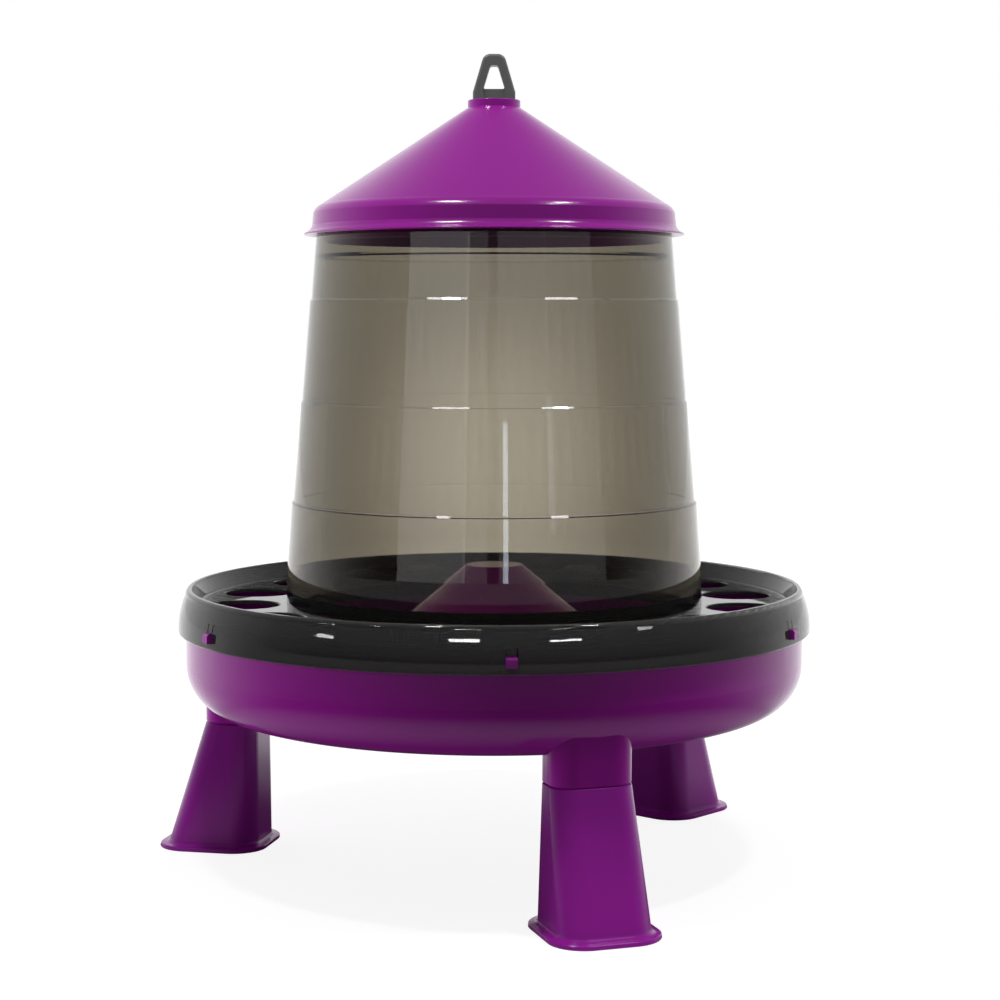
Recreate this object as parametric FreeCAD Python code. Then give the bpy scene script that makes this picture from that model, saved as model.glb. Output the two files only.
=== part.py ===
"""Gravity poultry feeder on three push-on legs.

Millimetres, +Z up.  The origin is on the feeder's axis, on the floor.  A bearing is an angle
about that axis, counted from -Y (the front leg) towards +X.
"""
import FreeCAD, Part
import math
import os

# ---- driving dimensions -------------------------------------------------------------------
WALL = 2.2                    # usual moulded wall
LEG_TOP_Z = 74.5              # seam between a leg and its stub under the pan
RING_Z = 134.0                # lower edge of the feed ring's skirt
LEG_BEARINGS = {"leg_front": 0.0, "leg_rear_right": 120.0, "leg_rear_left": 240.0}

# Leg section: radial limits, half width and corner radius, at the seam and at the floor.
LEG_TOP = (138.6, 169.8, 22.2, 12.5)
LEG_FOOT = (138.6, 193.6, 25.2, 14.2)
LEG_WALL = 2.4
LEG_SEAM_CHAMFER = 0.7
FOOT_FLANGE = 4.8             # how far the foot's flange stands out
FOOT_FLANGE_T = 2.6
FOOT_COVE = 2.2               # fillet between the flange and the leg
FOOT_COVE_STEPS = 4
SPIGOT_DEPTH = 24.0           # part of the stub that goes down inside the leg
SPIGOT_GAP = 0.3

PAN_R = 174.6
PAN_WALL = 2.4
PAN_BOTTOM_Z = 88.3
PAN_CORNER_R = 27.4
PAN_RIM_Z = RING_Z + 12.4
PAN_RIM_STEP_Z = RING_Z + 8.0
PAN_RIM_STEP = 0.7
CONE_TOP_R = 16.0
CONE_TOP_Z = RING_Z + 35.0
CONE_SLOPE = math.radians(39.0)

LUG_COUNT = 6
LUG_BEARING = -15.0
LUG_W = 5.8
LUG_Z = (RING_Z + 3.9, RING_Z + 9.1)
LUG_R = 181.6
LUG_RAMP = (4.1, 0.9)         # height of the lug's upright face; run of the ramp above it
WINDOW_GAP = 0.35
SLIT_W = 0.8                  # slits that free the flap above a window
SLIT_H = 13.8

SKIRT_R = 179.0
LIP_R = 170.9
LIP_Z = RING_Z + 24.0
DISC_Z = RING_Z + 14.6        # top of the perforated disc
DISC_T = 2.2
HOLE_COUNT = 16
HOLE_R = 19.9
HOLE_PITCH_R = 142.0
HOLE_BEARING = -9.0
HOLE_CHAMFER = 0.6
THROAT_R = 112.6              # hole in the middle of the disc
THROAT_RIM_DEPTH = 8.0        # turned-down rim round the throat

HOPPER_WALL = 2.0
HOPPER_TOP_Z = RING_Z + 233.0
HOPPER_FOOT_R = 118.2
HOPPER_FOOT_FUNNEL = 8.0      # height of the sloping inside of the foot
HOPPER_SPIGOT_GAP = 0.4       # between the throat and the spigot that hangs in it
HOPPER_SPIGOT_DEPTH = 6.0
# Each tier: outer radius at its lower edge, outer radius at its upper edge, upper edge height.
HOPPER_TIERS = (
    (117.3, 114.9, RING_Z + 71.3),
    (113.9, 109.1, RING_Z + 128.0),
    (108.4, 103.7, RING_Z + 184.6),
    (102.8, 99.0, HOPPER_TOP_Z),
)
HOPPER_FOOT_TOP_Z = RING_Z + 38.0
TIER_EDGE_SLOPE = math.radians(37.0)    # how far the chamfer at the top of a tier looks up
HOPPER_BEAD_Z = RING_Z + 209.0
HOPPER_BEAD = 0.6

LID_COLLAR_R = 14.75
LID_COLLAR_TOP_Z = RING_Z + 296.6
LID_CONE_TOP_Z = RING_Z + 292.4
LID_SHOULDER = (97.0, RING_Z + 238.3)
LID_BAND_R = 101.9
LID_LIP_R = 106.7
LID_LIP_Z = RING_Z + 221.2
LID_PLUG_R = 96.6
LID_PLUG_Z = RING_Z + 217.5
LID_PLUG_WALL = 1.8
LID_BOSS_R = 18.5
LID_BOSS_Z = RING_Z + 286.6

HANGER_BORE_R = 12.25
HANGER_R = 12.2
HANGER_FLANGE_R = 17.0
HANGER_FLANGE_T = 3.4
HANGER_SHOULDER_Z = RING_Z + 301.0
HANGER_SILL_Z = RING_Z + 302.6     # bottom of the eye
HANGER_RECESS = (5.9, 0.9)    # half width and depth of the panel below the eye
HANGER_TOP_Z = RING_Z + 322.0
HANGER_T = 9.0
HANGER_BEARING = -18.0

AXIS = FreeCAD.Vector(0, 0, 1)
ORIGIN = FreeCAD.Vector(0, 0, 0)


# ---- helpers ------------------------------------------------------------------------------
def rz(point):
    """A (radius, height) pair as a point of the half plane that is turned about Z."""
    return FreeCAD.Vector(point[0], 0, point[1])


def turned(start, *steps, angle=360.0):
    """Solid of revolution.  A step is a point, or a (through, end) pair of points for an arc."""
    edges = []
    here = start
    for step in steps + (start,):
        if isinstance(step[0], tuple):
            through, end = step
            edges.append(Part.Arc(rz(here), rz(through), rz(end)).toShape())
        else:
            end = step
            edges.append(Part.LineSegment(rz(here), rz(end)).toShape())
        here = end
    face = Part.Face(Part.Wire(edges))
    return face.revolve(ORIGIN, AXIS, angle)


def at_bearing(shape, bearing):
    """A copy of a shape that was built along +X, turned to a bearing."""
    copy = shape.copy()
    copy.rotate(ORIGIN, AXIS, bearing - 90.0)
    return copy


def rounded_section(section, z, grow=0.0):
    """Closed wire of a leg section at a height, grown (or shrunk) evenly by an offset."""
    inner, outer, half, corner = section
    x0, x1 = inner - grow, outer + grow
    y1 = half + grow
    c = corner + grow
    d = c * (1.0 - math.sqrt(0.5))
    v = FreeCAD.Vector
    edges = []
    for sx, sy, x in ((1, 1, x1), (-1, 1, x0), (-1, -1, x0), (1, -1, x1)):
        on_side = v(x, sy * (y1 - c), z)
        middle = v(x - sx * d, sy * (y1 - d), z)
        on_end = v(x - sx * c, sy * y1, z)
        first, last = (on_side, on_end) if sx * sy > 0 else (on_end, on_side)
        if edges:
            edges.append(Part.LineSegment(previous, first).toShape())
        else:
            opening = first
        edges.append(Part.Arc(first, middle, last).toShape())
        previous = last
    edges.append(Part.LineSegment(previous, opening).toShape())
    return Part.Wire(edges)


def leg_section(z):
    """The leg's outer section at a height, between the floor and the seam."""
    t = z / LEG_TOP_Z
    return tuple(foot + (top - foot) * t for foot, top in zip(LEG_FOOT, LEG_TOP))


def loft(wires):
    return Part.makeLoft(wires, True, True)


def prism(section, z0, z1, grow=0.0):
    return loft([rounded_section(section, z0, grow), rounded_section(section, z1, grow)])


def radial_block(r0, r1, width, z0, z1, offset=0.0):
    """A block along +X, centred on the XZ plane or moved sideways by an offset."""
    corner = FreeCAD.Vector(r0, offset - width / 2.0, z0)
    return Part.makeBox(r1 - r0, width, z1 - z0, corner)


# ---- pan ----------------------------------------------------------------------------------
def bowl_outline(inset):
    """Outer bowl outline from the axis to the rim; an inset gives the inside of the wall."""
    r = PAN_R - inset
    corner = PAN_CORNER_R - inset
    bottom = PAN_BOTTOM_Z + inset
    centre_z = PAN_BOTTOM_Z + PAN_CORNER_R
    d = corner * math.sqrt(0.5)
    through = (r - corner + d, centre_z - d)
    return (0.0, bottom), (r - corner, bottom), (through, (r, centre_z))


def bowl_inside():
    """The space above the pan's floor, cone included, open at the rim."""
    start, floor_end, corner = bowl_outline(PAN_WALL)
    top = PAN_RIM_Z + 60.0
    return turned(start, floor_end, corner, (PAN_R - PAN_WALL, top), (0.0, top))


def cone_solid(below, floor):
    """The spreading cone down to a floor, filled, its skin some way below the real one."""
    flat = CONE_TOP_Z - below
    skin_top = CONE_TOP_Z - below / math.cos(CONE_SLOPE)
    top_r = CONE_TOP_R + (skin_top - flat) / math.tan(CONE_SLOPE)
    foot_r = CONE_TOP_R + (skin_top - floor) / math.tan(CONE_SLOPE)
    return turned((0.0, floor), (foot_r, floor), (top_r, flat), (0.0, flat))


def stub():
    """Hollow stub under the pan, with the narrower spigot that a leg is pushed onto."""
    top = PAN_BOTTOM_Z + 2.0 * PAN_CORNER_R
    ledge_top = LEG_TOP_Z + 2.5
    spigot_outer = -(LEG_WALL + SPIGOT_GAP)
    spigot_inner = spigot_outer - WALL
    chamfer_z = LEG_TOP_Z + LEG_SEAM_CHAMFER
    tip_z = LEG_TOP_Z - SPIGOT_DEPTH
    foot = loft([rounded_section(LEG_TOP, LEG_TOP_Z, -LEG_SEAM_CHAMFER),
                 rounded_section(LEG_TOP, chamfer_z)])
    body = foot.fuse(prism(LEG_TOP, chamfer_z, top))
    spigot = loft([rounded_section(LEG_TOP, tip_z, spigot_outer - 1.0),
                   rounded_section(LEG_TOP, tip_z + 2.5, spigot_outer),
                   rounded_section(LEG_TOP, ledge_top, spigot_outer)])
    hollow = prism(LEG_TOP, ledge_top, top + 1.0, -LEG_WALL)
    bore = prism(LEG_TOP, tip_z - 1.0, ledge_top + 1.0, spigot_inner)
    return body.fuse(spigot).cut(hollow).cut(bore)


def lug():
    """Snap lug on the rim, with a lead-in ramp that the ring's tongue rides over."""
    z0, z1 = LUG_Z
    half = LUG_W / 2.0
    edge, run = LUG_RAMP
    points = [(PAN_R - 1.5, z0), (LUG_R, z0), (LUG_R, z0 + edge), (LUG_R - run, z1), (PAN_R - 1.5, z1)]
    wire = Part.makePolygon([FreeCAD.Vector(r, -half, z) for r, z in points + points[:1]])
    return Part.Face(wire).extrude(FreeCAD.Vector(0, LUG_W, 0))


def make_pan():
    start, floor_end, corner = bowl_outline(0.0)
    rim_r = PAN_R - PAN_RIM_STEP
    filled = turned(start, floor_end, corner, (PAN_R, PAN_RIM_STEP_Z), (rim_r, PAN_RIM_STEP_Z),
                    (rim_r, PAN_RIM_Z), (0.0, PAN_RIM_Z))
    cone = cone_solid(0.0, PAN_BOTTOM_Z + PAN_WALL)
    hollow = cone_solid(PAN_WALL, PAN_BOTTOM_Z - 1.0)
    pan = filled.cut(bowl_inside()).fuse(cone).cut(hollow)
    for bearing in LEG_BEARINGS.values():
        pan = pan.fuse(at_bearing(stub(), bearing).cut(filled))
    for index in range(LUG_COUNT):
        pan = pan.fuse(at_bearing(lug(), LUG_BEARING + index * 360.0 / LUG_COUNT))
    return pan.removeSplitter()


# ---- feed ring ----------------------------------------------------------------------------
def make_feed_ring():
    """Perforated disc with an outer lip and skirt, and a turned-down rim round the throat."""
    z = RING_Z
    under = DISC_Z - DISC_T
    rim_foot = DISC_Z - THROAT_RIM_DEPTH
    ring = turned(
        (SKIRT_R - 0.6, z), (SKIRT_R, z + 0.8),
        ((177.6, z + 13.5), (174.8, z + 21.4)),
        ((174.1, z + 23.2), (173.1, LIP_Z)), (171.7, LIP_Z),
        ((171.1, LIP_Z - 0.3), (LIP_R, LIP_Z - 0.9)),
        (167.7, DISC_Z + 1.2), ((167.2, DISC_Z + 0.3), (166.4, DISC_Z)),
        (THROAT_R + 0.3, DISC_Z), (THROAT_R, DISC_Z - 0.3),
        (THROAT_R, rim_foot), (THROAT_R + DISC_T, rim_foot), (THROAT_R + DISC_T, under),
        (174.3, under), (174.3, under + 2.0), (169.9, under + 2.0),
        (172.5, z + 21.2), ((175.4, z + 13.0), (176.8, z + 1.2)), (176.8, z),
    )
    hole = Part.makeCylinder(HOLE_R, 3.0 * DISC_T, FreeCAD.Vector(HOLE_PITCH_R, 0, under - DISC_T))
    chamfer = Part.makeCone(HOLE_R, HOLE_R + 2.0 * HOLE_CHAMFER, 2.0 * HOLE_CHAMFER,
                            FreeCAD.Vector(HOLE_PITCH_R, 0, DISC_Z - HOLE_CHAMFER))
    cutter = hole.fuse(chamfer)
    for index in range(HOLE_COUNT):
        ring = ring.cut(at_bearing(cutter, HOLE_BEARING + index * 360.0 / HOLE_COUNT))
    half_window = LUG_W / 2.0 + WINDOW_GAP
    window = radial_block(174.9, 183.0, 2.0 * half_window,
                          LUG_Z[0] - WINDOW_GAP, LUG_Z[1] + WINDOW_GAP)
    slits = [radial_block(174.9, 183.0, SLIT_W, LUG_Z[1], z + SLIT_H,
                          side * (half_window - SLIT_W / 2.0))
             for side in (-1, 1)]
    for index in range(LUG_COUNT):
        for opening in [window] + slits:
            ring = ring.cut(at_bearing(opening, LUG_BEARING + index * 360.0 / LUG_COUNT))
    return ring


# ---- hopper -------------------------------------------------------------------------------
def make_hopper():
    """Smoked hopper in four tiers, wider towards the bottom, on a foot with a spigot."""
    outside = [(HOPPER_FOOT_R, DISC_Z), (HOPPER_TIERS[0][0], HOPPER_FOOT_TOP_Z)]
    inside = [(r - HOPPER_WALL, z) for r, z in outside]
    for lower_r, upper_r, top_z in HOPPER_TIERS:
        below_r, below_z = inside[-1][0] + HOPPER_WALL, inside[-1][1]
        if lower_r != below_r:
            edge_z = below_z + (below_r - lower_r) / math.tan(TIER_EDGE_SLOPE)
            outside.append((lower_r, edge_z))
            inside.append((lower_r - HOPPER_WALL, edge_z))
        outside.append((upper_r, top_z))
        inside.append((upper_r - HOPPER_WALL, top_z))
    (r0, z0), (r1, z1) = inside[-2:]
    bead_base_r = r1 + (r0 - r1) * (z1 - HOPPER_BEAD_Z) / (z1 - z0)
    bead = [(bead_base_r + 0.05, HOPPER_BEAD_Z - 1.0),
            (bead_base_r - HOPPER_BEAD, HOPPER_BEAD_Z),
            (bead_base_r - 0.05, HOPPER_BEAD_Z + 1.0)]
    inside[-1:-1] = bead
    inside[0] = (HOPPER_FOOT_R - HOPPER_WALL, DISC_Z + HOPPER_FOOT_FUNNEL)
    spigot_r = THROAT_R - HOPPER_SPIGOT_GAP
    spigot_foot = DISC_Z - HOPPER_SPIGOT_DEPTH
    foot = [(spigot_r - HOPPER_WALL, DISC_Z), (spigot_r - HOPPER_WALL, spigot_foot),
            (spigot_r, spigot_foot), (spigot_r, DISC_Z)]
    path = outside + inside[::-1] + foot
    return turned(path[0], *path[1:])


# ---- lid ----------------------------------------------------------------------------------
def make_lid():
    """Conical lid with a rolled lip, an inner plug and a bore for the hanger."""
    slope = (LID_CONE_TOP_Z - LID_SHOULDER[1]) / (LID_SHOULDER[0] - LID_COLLAR_R)
    drop = WALL * math.sqrt(1.0 + slope * slope)

    def under_cone(r):
        return LID_CONE_TOP_Z - (r - LID_COLLAR_R) * slope - drop

    plug_inner_r = LID_PLUG_R - LID_PLUG_WALL
    band_inner_r = LID_BAND_R - 1.7
    shoulder_r, shoulder_z = LID_SHOULDER
    return turned(
        (HANGER_BORE_R, LID_BOSS_Z), (HANGER_BORE_R, LID_COLLAR_TOP_Z),
        (LID_COLLAR_R - 0.7, LID_COLLAR_TOP_Z),
        ((LID_COLLAR_R - 0.2, LID_COLLAR_TOP_Z - 0.2), (LID_COLLAR_R, LID_COLLAR_TOP_Z - 0.7)),
        (LID_COLLAR_R, LID_CONE_TOP_Z), (shoulder_r, shoulder_z),
        ((shoulder_r + 3.1, shoulder_z - 2.3), (LID_BAND_R - 0.4, shoulder_z - 4.6)),
        (LID_BAND_R + 0.3, RING_Z + 226.6),
        ((LID_BAND_R + 1.6, RING_Z + 224.2), (LID_LIP_R - 0.6, LID_LIP_Z + 1.2)),
        ((LID_LIP_R, LID_LIP_Z + 0.5), (LID_LIP_R - 0.6, LID_LIP_Z)),
        (LID_LIP_R - 1.2, LID_LIP_Z), ((LID_BAND_R + 0.4, RING_Z + 222.6), (band_inner_r, RING_Z + 226.0)),
        (band_inner_r, HOPPER_TOP_Z), (LID_PLUG_R, HOPPER_TOP_Z),
        (LID_PLUG_R, LID_PLUG_Z + 0.8), (LID_PLUG_R - 0.8, LID_PLUG_Z), (plug_inner_r, LID_PLUG_Z),
        (plug_inner_r, under_cone(plug_inner_r)), (LID_BOSS_R, under_cone(LID_BOSS_R)),
        (LID_BOSS_R, LID_BOSS_Z),
    )


# ---- hanger -------------------------------------------------------------------------------
def eye_outline(half_bottom, half_top, z_bottom, z_top, corner_top, corner_bottom):
    """Tapered outline in the XZ plane with rounded corners, as a face at y = 0."""
    v = FreeCAD.Vector
    wire = Part.makePolygon([v(-half_bottom, 0, z_bottom), v(half_bottom, 0, z_bottom),
                             v(half_top, 0, z_top), v(-half_top, 0, z_top),
                             v(-half_bottom, 0, z_bottom)])
    slab = Part.Face(wire).extrude(v(0, 1, 0))
    for radius, z in ((corner_top, z_top), (corner_bottom, z_bottom)):
        if radius:
            edges = [e for e in slab.Edges
                     if abs(e.CenterOfMass.z - z) < 1e-6 and abs(e.CenterOfMass.y - 0.5) < 1e-6]
            slab = slab.makeFillet(radius, edges)
    return min(slab.Faces, key=lambda face: face.CenterOfMass.y)


def slab_of(face, thickness):
    """The face's slab, centred on the XZ plane."""
    slab = face.extrude(FreeCAD.Vector(0, thickness, 0))
    slab.translate(FreeCAD.Vector(0, -thickness / 2.0 - face.CenterOfMass.y, 0))
    return slab


def make_hanger():
    """Flat hanging eye on a round boss, with the flange that holds it under the lid."""
    seat_z = LID_COLLAR_TOP_Z + 0.3
    boss = turned((0, LID_BOSS_Z - HANGER_FLANGE_T), (HANGER_FLANGE_R - 0.6, LID_BOSS_Z - HANGER_FLANGE_T),
                  (HANGER_FLANGE_R, LID_BOSS_Z - HANGER_FLANGE_T + 0.6), (HANGER_FLANGE_R, LID_BOSS_Z),
                  (HANGER_R, LID_BOSS_Z), (HANGER_R, seat_z), (0, seat_z))
    post = slab_of(eye_outline(11.9, 11.9, seat_z, HANGER_SHOULDER_Z, 0, 0), HANGER_T)
    loop = slab_of(eye_outline(11.9, 5.6, HANGER_SHOULDER_Z, HANGER_TOP_Z, 4.6, 0), HANGER_T)
    blade = post.fuse(loop).removeSplitter()
    rim = [e for e in blade.Edges if abs(abs(e.CenterOfMass.y) - HANGER_T / 2.0) < 1e-6
           and e.CenterOfMass.z > seat_z + 0.01]
    blade = blade.makeFillet(1.6, rim)
    eye = slab_of(eye_outline(6.1, 2.1, HANGER_SILL_Z, HANGER_TOP_Z - 6.4, 1.6, 0.9), 3.0 * HANGER_T)
    hanger = boss.fuse(blade).cut(eye)
    for side in (-1, 1):
        recess = radial_block(-HANGER_RECESS[0], HANGER_RECESS[0], HANGER_RECESS[1] * 2.0,
                              seat_z + 1.0, HANGER_SILL_Z + 1.0, side * HANGER_T / 2.0)
        hanger = hanger.cut(recess)
    hanger.rotate(ORIGIN, AXIS, HANGER_BEARING)
    return hanger.removeSplitter()


# ---- legs ---------------------------------------------------------------------------------
def make_leg():
    """Hollow splayed leg, open at both ends, with a coved flange at the foot."""
    chamfer_z = LEG_TOP_Z - LEG_SEAM_CHAMFER
    wires = [rounded_section(leg_section(0.0), 0.0, FOOT_FLANGE - 0.5),
             rounded_section(leg_section(0.5), 0.5, FOOT_FLANGE),
             rounded_section(leg_section(FOOT_FLANGE_T - 0.6), FOOT_FLANGE_T - 0.6, FOOT_FLANGE),
             rounded_section(leg_section(FOOT_FLANGE_T - 0.2), FOOT_FLANGE_T - 0.2, FOOT_FLANGE - 0.4)]
    for step in range(FOOT_COVE_STEPS + 1):
        angle = math.radians(90.0 * (1.0 - step / FOOT_COVE_STEPS))
        z = FOOT_FLANGE_T + FOOT_COVE * (1.0 - math.sin(angle))
        grow = FOOT_COVE * (1.0 - math.cos(angle))
        wires.append(rounded_section(leg_section(z), z, grow))
    wires.append(rounded_section(leg_section(chamfer_z), chamfer_z))
    wires.append(rounded_section(LEG_TOP, LEG_TOP_Z, -LEG_SEAM_CHAMFER))
    inside = loft([rounded_section(leg_section(-1.0), -1.0, -LEG_WALL),
                   rounded_section(leg_section(LEG_TOP_Z + 1.0), LEG_TOP_Z + 1.0, -LEG_WALL)])
    return loft(wires).cut(inside)


# ---- write --------------------------------------------------------------------------------
def main():
    os.makedirs("parts", exist_ok=True)
    nodes = {
        "pan": make_pan(),
        "feed_ring": make_feed_ring(),
        "hopper": make_hopper(),
        "lid": make_lid(),
        "hanger": make_hanger(),
    }
    leg = make_leg()
    for name, bearing in LEG_BEARINGS.items():
        nodes[name] = at_bearing(leg, bearing)
    for name, shape in nodes.items():
        shape.exportStep("parts/" + name + ".step")
        box = shape.BoundBox
        print("%-16s solids %d valid %s volume %.1f cm3 z %.1f..%.1f" % (
            name, len(shape.Solids), shape.isValid(), shape.Volume / 1000.0, box.ZMin, box.ZMax))


main()
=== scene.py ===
import math
import bpy
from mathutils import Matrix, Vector

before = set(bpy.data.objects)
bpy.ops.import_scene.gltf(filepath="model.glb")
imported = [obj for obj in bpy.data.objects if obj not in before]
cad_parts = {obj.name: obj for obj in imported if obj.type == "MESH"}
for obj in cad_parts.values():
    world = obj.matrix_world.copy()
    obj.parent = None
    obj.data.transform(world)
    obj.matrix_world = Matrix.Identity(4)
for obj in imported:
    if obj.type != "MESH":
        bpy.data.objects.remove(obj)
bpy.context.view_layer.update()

# Lengths are in metres. A bearing is in degrees round the feeder's axis, counted from the camera's
# side towards its right. A glow is a radiance, and 1 is the white of the picture.

# ---- camera --------------------------------------------------------------------------------
VIEW_BEARING = math.radians(-17.9)      # where the camera stands, counted from the front leg
CAMERA_DISTANCE = 1.245
CAMERA_HEIGHT = 0.3094
CAMERA_PITCH = math.radians(4.76)
CAMERA_SIDESTEP = 0.0033
CAMERA_LENS = 79.0                      # lens and sensor in millimetres
CAMERA_SENSOR = 36.0

# ---- plastics ------------------------------------------------------------------------------
PLASTIC_IOR = 1.49
MOTTLE_SCALE = 9.0                      # noise scales are in cells per metre
MOTTLE_SHADES = (0.93, 1.05)            # shares of the colour
GLOSS_SHARES = (0.9, 1.12)              # shares of the roughness
PEEL_STRENGTH = 0.03
PEEL_DEPTH = 0.0004
RIPPLE_SCALE = 14.0
RIPPLE_STRENGTH = 0.04
RIPPLE_DEPTH = 0.001

# ---- floor and backdrop --------------------------------------------------------------------
FLOOR_SIZE = 14.0
FLOOR_DROP = 0.0002                     # keeps the floor clear of the feet
FLOOR_SHADE = (0.3, 0.3, 0.3, 1.0)
FLOOR_LOOK_SPAN = (0.1, 1.1)            # spans on the floor are distances from the axis
# painted shadow: the floor's glow to the camera is lower near the axis
FLOOR_LOOK_GLOW = (0.88, 1.06)
SHEET_GLOW = 0.66                       # thrown up by the sheet close round the feeder
SHEET_EDGE = (0.24, 0.42)
SHEET_GLOSS_SHARE = 0.6
SHEET_SHADOW_SPAN = (0.13, 0.23)        # the feeder's own shadow on what the sheet throws up
SHEET_SHADOW = 0.05
OPEN_FLOOR_EDGE = (0.18, 0.34)
OPEN_FLOOR_SHADOW = 0.03
FAR_FLOOR_EDGE = (0.8, 1.2)
FAR_FLOOR_GLOW = 0.35                   # seen only in gloss
ROOM_GLOW = 0.02                        # the room behind the camera
BACKDROP_GLOW = 1.3
FLOOR_BACKDROP_TURN = (-0.5, 1.0)       # cosines of the angle from straight behind the feeder
WALL_BACKDROP_TURN = (-0.5, 0.9)
WALL_FADE_LEVEL = (0.3, 0.9)            # sines of the height above the horizon
WALL_FADE = 0.12
CEILING_LEVEL = (0.1, 0.9)
CEILING_GLOW = 0.12
MIRROR_TURN = (0.0, -0.4)
MIRROR_LEVEL = (0.02, 0.12)
MIRROR_GLOW = 0.12                      # the room behind the camera, seen only in gloss
HOT_SPOT_DISTANCE = 1.5
HOT_SPOT_HEIGHT = 0.13
HOT_SPOT_HALF = 0.27
HOT_SPOT_SPAN = (0.02, 0.25)            # distances from the spot's middle
HOT_SPOT_GLOW = 0.85                    # how much brighter the backdrop is right behind the feeder

# ---- lights: name, bearing, reach from the axis, height, (width, depth), glow --------------
LIGHT_AIM = (0.0, 0.0, 0.25)
FILL_AIM = (0.0, 0.0, 0.12)
OVERHEAD_LAMPS = (
    ("overhead_left", -40.0, 0.33, 0.95, (0.11, 0.05), 110.0),
    ("overhead_right", 55.0, 0.44, 0.95, (0.11, 0.05), 110.0),
)
OVERHEAD_WASH = ("overhead_wash", 0.0, 0.35, 1.9, (1.4, 1.4), 0.5)
SIDE_FILLS = (
    ("left_fill", -86.0, 1.3, 0.2, (1.0, 0.6), 5.6),
    ("right_fill", 95.0, 1.3, 0.2, (1.0, 0.6), 3.2),
)
HOPPER_PANELS = (
    ("panel_left", -34.0, 2.6, 0.6, (1.8, 1.0), 1.05),
    ("panel_middle_left", -10.0, 2.9, 0.6, (0.66, 1.0), 0.5),
    ("panel_middle_right", 17.0, 2.9, 0.6, (1.5, 1.0), 0.5),
    ("panel_right", 46.5, 2.6, 0.6, (1.45, 1.0), 0.45),
)
HOPPER_DOOR_GAPS = (
    ("door_gap", 6.2, 2.4, 0.36, (0.11, 0.36), 7.0),
    ("door_gap_faint", 31.5, 2.4, 0.42, (0.14, 0.28), 1.1),
)
DAYLIGHT = (0.78, 0.88, 1.0)
HOPPER_EDGE_LAMPS = (
    ("edge_lamp_left", -43.23, 0.3431, 0.95, (0.2, 0.22), 13.0),
    ("edge_lamp_right", 57.48, 0.4092, 0.95, (0.18, 0.22), 13.0),
)
RING_LAMPS = (
    ("lamp_left", -10.0, 1.5, 0.867, (0.28, 0.07), 45.0),
    ("lamp_right", 24.9, 1.49, 0.82, (0.28, 0.05), 38.0),
    ("lamp_far_left", -60.2, 1.45, 0.657, (0.2, 0.07), 18.0),
    ("lamp_near_left", -46.1, 1.45, 1.12, (0.12, 0.12), 12.0),
    ("lamp_far_right", 55.8, 1.45, 0.916, (0.14, 0.1), 12.0),
)


# ---- node helpers --------------------------------------------------------------------------
def new_material(name):
    mat = bpy.data.materials.new(name)
    mat.use_nodes = True
    nodes = mat.node_tree.nodes
    nodes.clear()
    return mat, nodes, mat.node_tree.links


def add(nodes, kind, **values):
    """A node with its input sockets or its own properties set by name."""
    node = nodes.new(kind)
    for key, value in values.items():
        if key in node.inputs:
            node.inputs[key].default_value = value
        else:
            setattr(node, key, value)
    return node


def ramp(nodes, links, source, span, levels):
    """Smooth step of a value, from the first level at span[0] to the second at span[1]."""
    step = add(nodes, "ShaderNodeMapRange", interpolation_type="SMOOTHSTEP")
    step.inputs["From Min"].default_value = span[0]
    step.inputs["From Max"].default_value = span[1]
    step.inputs["To Min"].default_value = levels[0]
    step.inputs["To Max"].default_value = levels[1]
    links.new(source, step.inputs["Value"])
    return step.outputs["Result"]


def combine(nodes, links, operation, first, second):
    node = add(nodes, "ShaderNodeMath", operation=operation)
    links.new(first, node.inputs[0])
    links.new(second, node.inputs[1])
    return node.outputs["Value"]


def towards(nodes, links, source, direction):
    """How far a position or direction reaches along the given unit vector."""
    node = add(nodes, "ShaderNodeVectorMath", operation="DOT_PRODUCT")
    node.inputs[1].default_value = direction
    links.new(source, node.inputs[0])
    return node.outputs["Value"]


def glossy_view(nodes):
    return add(nodes, "ShaderNodeLightPath").outputs["Is Glossy Ray"]


def straight_view(nodes, links):
    """1 for rays that have met nothing but clear plastic since they left the eye, otherwise 0."""
    path = add(nodes, "ShaderNodeLightPath")
    direct = add(nodes, "ShaderNodeMath", operation="LESS_THAN")
    direct.inputs[1].default_value = 0.5
    seen = combine(nodes, links, "MAXIMUM",
                   path.outputs["Is Camera Ray"], path.outputs["Is Transmission Ray"])
    bounces = combine(nodes, links, "ADD",
                      path.outputs["Diffuse Depth"], path.outputs["Glossy Depth"])
    links.new(bounces, direct.inputs[0])
    return combine(nodes, links, "MULTIPLY", seen, direct.outputs["Value"])


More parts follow.
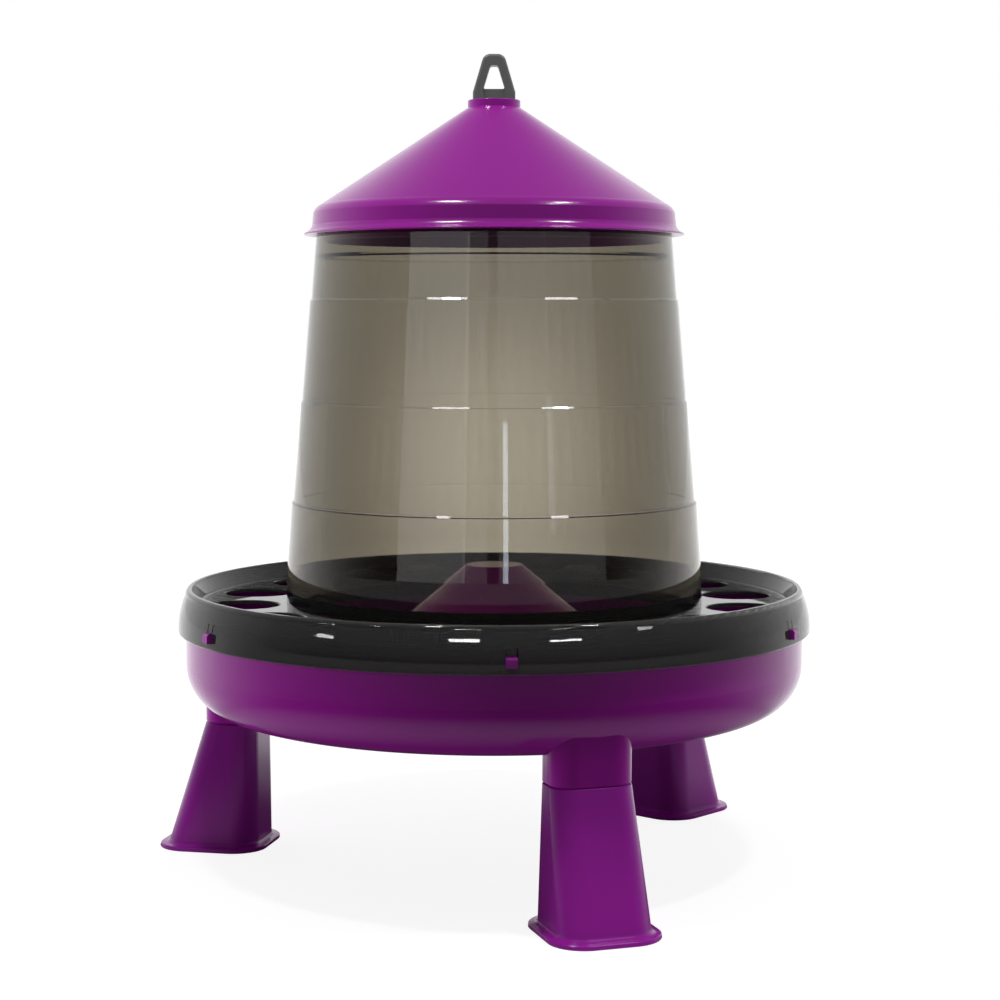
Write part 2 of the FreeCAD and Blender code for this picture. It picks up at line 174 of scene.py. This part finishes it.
# ---- materials -----------------------------------------------------------------------------
def moulded_plastic(name, colour, roughness, grain, shine=0.5):
    """Injection-moulded plastic: faint flow mottling, fine orange peel and uneven gloss."""
    mat, nodes, links = new_material(name)
    out = add(nodes, "ShaderNodeOutputMaterial")
    shader = add(nodes, "ShaderNodeBsdfPrincipled")
    shader.inputs["IOR"].default_value = PLASTIC_IOR
    shader.inputs["Specular IOR Level"].default_value = shine
    place = add(nodes, "ShaderNodeTexCoord")
    flow = add(nodes, "ShaderNodeTexNoise", Scale=MOTTLE_SCALE, Detail=3.0, Roughness=0.55)
    shade = add(nodes, "ShaderNodeMix", data_type="RGBA")
    darker, lighter = ([channel * share for channel in colour] for share in MOTTLE_SHADES)
    shade.inputs["A"].default_value = (*darker, 1.0)
    shade.inputs["B"].default_value = (*lighter, 1.0)
    peel = add(nodes, "ShaderNodeTexNoise", Scale=grain, Detail=2.0, Roughness=0.5)
    bump = add(nodes, "ShaderNodeBump", Strength=PEEL_STRENGTH, Distance=PEEL_DEPTH)
    gloss = add(nodes, "ShaderNodeMapRange")
    gloss.inputs["To Min"].default_value = roughness * GLOSS_SHARES[0]
    gloss.inputs["To Max"].default_value = roughness * GLOSS_SHARES[1]
    links.new(place.outputs["Object"], flow.inputs["Vector"])
    links.new(place.outputs["Object"], peel.inputs["Vector"])
    links.new(flow.outputs["Fac"], shade.inputs["Factor"])
    links.new(shade.outputs["Result"], shader.inputs["Base Color"])
    links.new(flow.outputs["Fac"], gloss.inputs["Value"])
    links.new(gloss.outputs["Result"], shader.inputs["Roughness"])
    links.new(peel.outputs["Fac"], bump.inputs["Height"])
    links.new(bump.outputs["Normal"], shader.inputs["Normal"])
    links.new(shader.outputs["BSDF"], out.inputs["Surface"])
    return mat


def smoked_plastic(name, tint, density, roughness, haze, ior):
    """Clear plastic smoked through its thickness; lamps shine through it to what stands behind."""
    mat, nodes, links = new_material(name)
    out = add(nodes, "ShaderNodeOutputMaterial")
    shader = add(nodes, "ShaderNodeBsdfPrincipled")
    shader.inputs["Base Color"].default_value = (1.0, 1.0, 1.0, 1.0)
    shader.inputs["Transmission Weight"].default_value = 1.0 - haze
    shader.inputs["IOR"].default_value = ior
    shader.inputs["Roughness"].default_value = roughness
    smoke = add(nodes, "ShaderNodeVolumeAbsorption")
    smoke.inputs["Color"].default_value = (*tint, 1.0)
    smoke.inputs["Density"].default_value = density
    clear = add(nodes, "ShaderNodeBsdfTransparent")
    path = add(nodes, "ShaderNodeLightPath")
    mix = add(nodes, "ShaderNodeMixShader")
    place = add(nodes, "ShaderNodeTexCoord")
    ripple = add(nodes, "ShaderNodeTexNoise", Scale=RIPPLE_SCALE, Detail=1.0)
    bump = add(nodes, "ShaderNodeBump", Strength=RIPPLE_STRENGTH, Distance=RIPPLE_DEPTH)
    links.new(place.outputs["Object"], ripple.inputs["Vector"])
    links.new(ripple.outputs["Fac"], bump.inputs["Height"])
    links.new(bump.outputs["Normal"], shader.inputs["Normal"])
    links.new(path.outputs["Is Shadow Ray"], mix.inputs["Fac"])
    links.new(shader.outputs["BSDF"], mix.inputs[1])
    links.new(clear.outputs["BSDF"], mix.inputs[2])
    links.new(mix.outputs["Shader"], out.inputs["Surface"])
    links.new(smoke.outputs["Volume"], out.inputs["Volume"])
    return mat


def paint(node, material):
    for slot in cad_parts[node].material_slots:
        slot.material = material


def paint_feeder():
    paint("lid", moulded_plastic(
        "purple_lid", colour=(0.30, 0.013, 0.295), roughness=0.17, grain=900.0))
    paint("pan", moulded_plastic(
        "purple_pan", colour=(0.30, 0.012, 0.29), roughness=0.15, grain=900.0))
    paint("hanger", moulded_plastic(
        "grey_hanger", colour=(0.14, 0.143, 0.143), roughness=0.4, grain=1400.0))
    paint("hopper", smoked_plastic(
        "smoked_hopper", tint=(0.32, 0.27, 0.145), density=585.0, roughness=0.025,
        haze=0.015, ior=PLASTIC_IOR))
    paint("feed_ring", smoked_plastic(
        "smoked_ring", tint=(0.42, 0.395, 0.32), density=2300.0, roughness=0.035,
        haze=0.05, ior=1.4))
    purple_leg = moulded_plastic(
        "purple_leg", colour=(0.44, 0.02, 0.46), roughness=0.2, grain=1100.0, shine=0.35)
    for leg in ("leg_front", "leg_rear_right", "leg_rear_left"):
        paint(leg, purple_leg)


# ---- floor and backdrop --------------------------------------------------------------------
def across(bearing):
    """Level unit vector from the axis at a bearing counted from the camera's side."""
    angle = VIEW_BEARING + math.radians(bearing)
    return Vector((math.sin(angle), -math.cos(angle), 0.0))


def floor_look(nodes, links, distance):
    """What the camera sees: white, a little darker round the feeder: its real shadow on the grey, and
    painted shadow in a glow that is lower near the axis.
    """
    look = add(nodes, "ShaderNodeBsdfPrincipled")
    look.inputs["Base Color"].default_value = FLOOR_SHADE
    look.inputs["Roughness"].default_value = 1.0
    look.inputs["Specular IOR Level"].default_value = 0.0
    look.inputs["Emission Color"].default_value = (1.0, 1.0, 1.0, 1.0)
    # painted shadow: the glow falls off towards the axis, darkening the floor round the feeder
    links.new(ramp(nodes, links, distance, FLOOR_LOOK_SPAN, FLOOR_LOOK_GLOW),
              look.inputs["Emission Strength"])
    return look.outputs["BSDF"]


def floor_light(nodes, links, place, distance):
    """What the floor throws up: the near sheet, the lit floor behind and, in gloss, the far floor."""
    outward = add(nodes, "ShaderNodeVectorMath", operation="NORMALIZE")
    links.new(place, outward.inputs[0])
    behind = towards(nodes, links, outward.outputs["Vector"], across(180.0))
    gloss = glossy_view(nodes)
    sheet = combine(nodes, links, "MULTIPLY",
                    ramp(nodes, links, distance, SHEET_EDGE, (SHEET_GLOW, 0.0)),
                    ramp(nodes, links, gloss, (0.0, 1.0), (1.0, SHEET_GLOSS_SHARE)))
    near = combine(nodes, links, "MULTIPLY", sheet,
                   ramp(nodes, links, distance, SHEET_SHADOW_SPAN, (SHEET_SHADOW, 1.0)))
    open_floor = combine(nodes, links, "MULTIPLY",
                         ramp(nodes, links, behind, FLOOR_BACKDROP_TURN, (ROOM_GLOW, BACKDROP_GLOW)),
                         ramp(nodes, links, distance, OPEN_FLOOR_EDGE, (OPEN_FLOOR_SHADOW, 1.0)))
    far = combine(nodes, links, "MULTIPLY",
                  ramp(nodes, links, distance, FAR_FLOOR_EDGE, (0.0, FAR_FLOOR_GLOW)), gloss)
    lit = combine(nodes, links, "MAXIMUM", near, open_floor)
    glow = add(nodes, "ShaderNodeEmission")
    links.new(combine(nodes, links, "MAXIMUM", lit, far), glow.inputs["Strength"])
    return glow.outputs["Emission"]


def make_floor():
    """Pale sheet: white to look at, with a faint real and painted shadow; it throws light up round
    the feeder.
    """
    bpy.ops.mesh.primitive_plane_add(size=FLOOR_SIZE, location=(0, 0, -FLOOR_DROP))
    floor = bpy.context.object
    floor.name = "floor"
    mat, nodes, links = new_material("pale_floor")
    out = add(nodes, "ShaderNodeOutputMaterial")
    place = add(nodes, "ShaderNodeTexCoord").outputs["Object"]
    reach = add(nodes, "ShaderNodeVectorMath", operation="LENGTH")
    links.new(place, reach.inputs[0])
    distance = reach.outputs["Value"]
    mix = add(nodes, "ShaderNodeMixShader")
    links.new(straight_view(nodes, links), mix.inputs["Fac"])
    links.new(floor_light(nodes, links, place, distance), mix.inputs[1])
    links.new(floor_look(nodes, links, distance), mix.inputs[2])
    links.new(mix.outputs["Shader"], out.inputs["Surface"])
    floor.data.materials.append(mat)


def make_backdrop_spot():
    """Brighter patch of the backdrop, seen only through the clear plastic."""
    side = across(90.0) * HOT_SPOT_HALF
    up = Vector((0, 0, HOT_SPOT_HALF))
    middle = across(180.0) * HOT_SPOT_DISTANCE + Vector((0, 0, HOT_SPOT_HEIGHT))
    low, high = middle - up * 0.5, middle + up
    mesh = bpy.data.meshes.new("backdrop_spot")
    mesh.from_pydata([low - side, low + side, high + side, high - side], [], [(0, 1, 2, 3)])
    spot = bpy.data.objects.new("backdrop_spot", mesh)
    bpy.context.collection.objects.link(spot)
    mat, nodes, links = new_material("backdrop_spot")
    out = add(nodes, "ShaderNodeOutputMaterial")
    place = add(nodes, "ShaderNodeTexCoord").outputs["Object"]
    reach = add(nodes, "ShaderNodeVectorMath", operation="DISTANCE")
    reach.inputs[1].default_value = middle
    links.new(place, reach.inputs[0])
    glow = add(nodes, "ShaderNodeEmission")
    links.new(ramp(nodes, links, reach.outputs["Value"], HOT_SPOT_SPAN, (1.0 + HOT_SPOT_GLOW, 1.0)),
              glow.inputs["Strength"])
    links.new(glow.outputs["Emission"], out.inputs["Surface"])
    mesh.materials.append(mat)
    spot.visible_camera = False
    spot.visible_diffuse = False
    spot.visible_glossy = False
    spot.visible_shadow = False


def make_world():
    """White backdrop behind and at the sides that fades towards the ceiling; dark in front."""
    world = bpy.data.worlds.new("studio")
    bpy.context.scene.world = world
    world.use_nodes = True
    nodes, links = world.node_tree.nodes, world.node_tree.links
    nodes.clear()
    out = add(nodes, "ShaderNodeOutputWorld")
    place = add(nodes, "ShaderNodeTexCoord").outputs["Generated"]
    axes = add(nodes, "ShaderNodeSeparateXYZ")
    links.new(place, axes.inputs[0])
    level = axes.outputs["Z"]
    behind = towards(nodes, links, place, across(180.0))
    wall = combine(nodes, links, "MULTIPLY",
                   ramp(nodes, links, behind, WALL_BACKDROP_TURN, (ROOM_GLOW, BACKDROP_GLOW)),
                   ramp(nodes, links, level, WALL_FADE_LEVEL, (1.0, WALL_FADE)))
    ceiling = ramp(nodes, links, level, CEILING_LEVEL, (0.0, CEILING_GLOW))
    room = combine(nodes, links, "MULTIPLY",
                   ramp(nodes, links, behind, MIRROR_TURN, (0.0, MIRROR_GLOW)),
                   ramp(nodes, links, level, MIRROR_LEVEL, (0.0, 1.0)))
    gloss = combine(nodes, links, "MULTIPLY", room, glossy_view(nodes))
    light = add(nodes, "ShaderNodeBackground")
    total = combine(nodes, links, "ADD", combine(nodes, links, "ADD", wall, ceiling), gloss)
    links.new(total, light.inputs["Strength"])
    seen = add(nodes, "ShaderNodeBackground", Color=(1, 1, 1, 1), Strength=1.0)
    mix = add(nodes, "ShaderNodeMixShader")
    links.new(straight_view(nodes, links), mix.inputs["Fac"])
    links.new(light.outputs["Background"], mix.inputs[1])
    links.new(seen.outputs["Background"], mix.inputs[2])
    links.new(mix.outputs["Shader"], out.inputs["Surface"])


# ---- lights and camera ---------------------------------------------------------------------
def softbox(name, bearing, reach, height, size, glow, aim=LIGHT_AIM):
    """Area light that glows evenly at the given radiance, aimed at a point."""
    light = bpy.data.lights.new(name, "AREA")
    light.shape = "RECTANGLE"
    light.size, light.size_y = size
    light.energy = glow * math.pi * size[0] * size[1]
    obj = bpy.data.objects.new(name, light)
    bpy.context.collection.objects.link(obj)
    obj.location = across(bearing) * reach + Vector((0, 0, height))
    obj.rotation_euler = (Vector(aim) - obj.location).to_track_quat("-Z", "Y").to_euler()
    obj.visible_camera = False
    obj.visible_transmission = False
    return obj


def shine_on(light, names):
    """Keeps a light to the named nodes."""
    group = bpy.data.collections.new(light.name + "_reach")
    for name in names:
        group.objects.link(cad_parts[name])
    light.light_linking.receiver_collection = group


def mirrored_lights(rows, names):
    """Lights that show only as reflections, and only in the named nodes."""
    lights = [softbox(*row) for row in rows]
    for light in lights:
        light.visible_diffuse = False
        shine_on(light, names)
    return lights


def make_lights():
    for row in OVERHEAD_LAMPS:
        softbox(*row)
    softbox(*OVERHEAD_WASH).visible_glossy = False
    for row in SIDE_FILLS:
        fill = softbox(*row, aim=FILL_AIM)
        fill.visible_glossy = False
        shine_on(fill, ["pan", "lid", "hanger"])
    mirrored_lights(HOPPER_PANELS, ["hopper"])
    for gap in mirrored_lights(HOPPER_DOOR_GAPS, ["hopper"]):
        gap.data.color = DAYLIGHT
    # The chamfers between the hopper's tiers mirror these, which face straight down.
    for lamp in mirrored_lights(HOPPER_EDGE_LAMPS, ["hopper"]):
        lamp.rotation_euler = (0.0, 0.0, VIEW_BEARING)
    mirrored_lights(RING_LAMPS, ["feed_ring", "pan"])


def make_camera():
    data = bpy.data.cameras.new("camera")
    data.lens = CAMERA_LENS
    data.sensor_width = CAMERA_SENSOR
    camera = bpy.data.objects.new("camera", data)
    bpy.context.collection.objects.link(camera)
    camera.location = across(0.0) * CAMERA_DISTANCE + across(90.0) * CAMERA_SIDESTEP
    camera.location.z = CAMERA_HEIGHT
    camera.rotation_euler = (math.radians(90.0) - CAMERA_PITCH, 0.0, VIEW_BEARING)
    bpy.context.scene.camera = camera


paint_feeder()
make_floor()
make_backdrop_spot()
make_world()
make_lights()
make_camera()
bpy.context.scene.view_settings.view_transform = "Standard"
